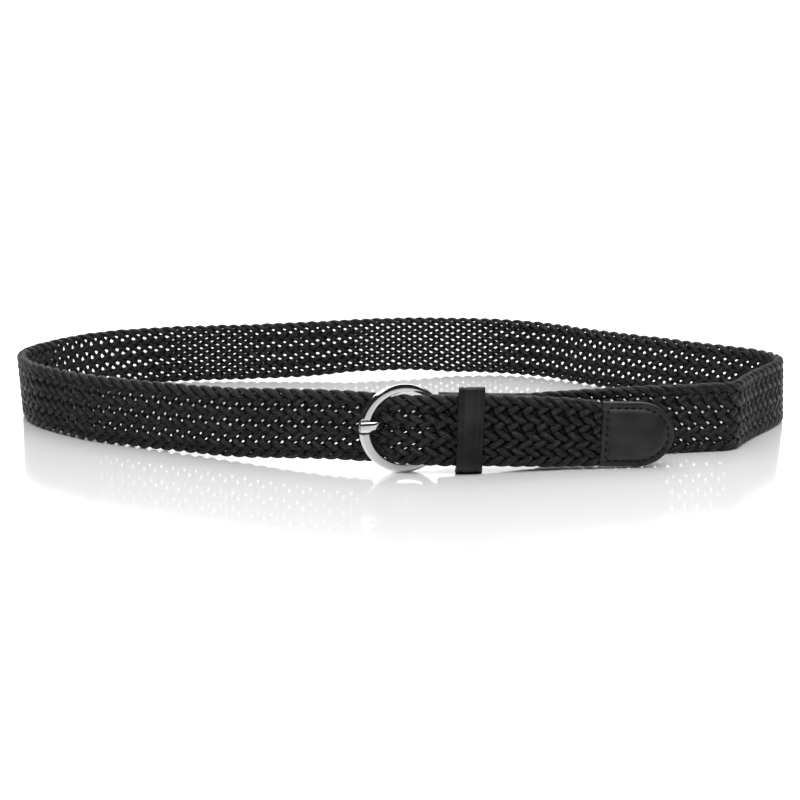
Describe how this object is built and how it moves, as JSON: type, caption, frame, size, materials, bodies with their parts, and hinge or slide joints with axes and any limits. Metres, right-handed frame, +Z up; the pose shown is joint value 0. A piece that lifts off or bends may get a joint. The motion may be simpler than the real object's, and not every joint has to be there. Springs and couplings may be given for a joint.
{
  "type": "braided belt",
  "caption": "Flat braided belt with a round metal buckle, a leather keeper and a leather tip, buckled into a loop that stands on its edge.",
  "frame": {"origin": "on the surface that the belt stands on, under the middle of its outer box", "axes": "+Z up, across the strap's width; +X along the loop's length, towards the side that the leather tip points to; -Y towards the buckle"},
  "size_m": [0.3933, 0.2285, 0.0395],
  "materials": {
    "braid": "black plaited cords with a soft satin sheen",
    "leather": "smooth black leather with a low sheen",
    "metal": "polished silver-coloured plating"
  },
  "bodies": {
    "root": {"strap": "braid", "buckle_tab": "leather", "buckle_frame": "metal", "prong": "metal", "keeper": "leather", "strap_tip": "leather"}
  },
  "joints": []
}
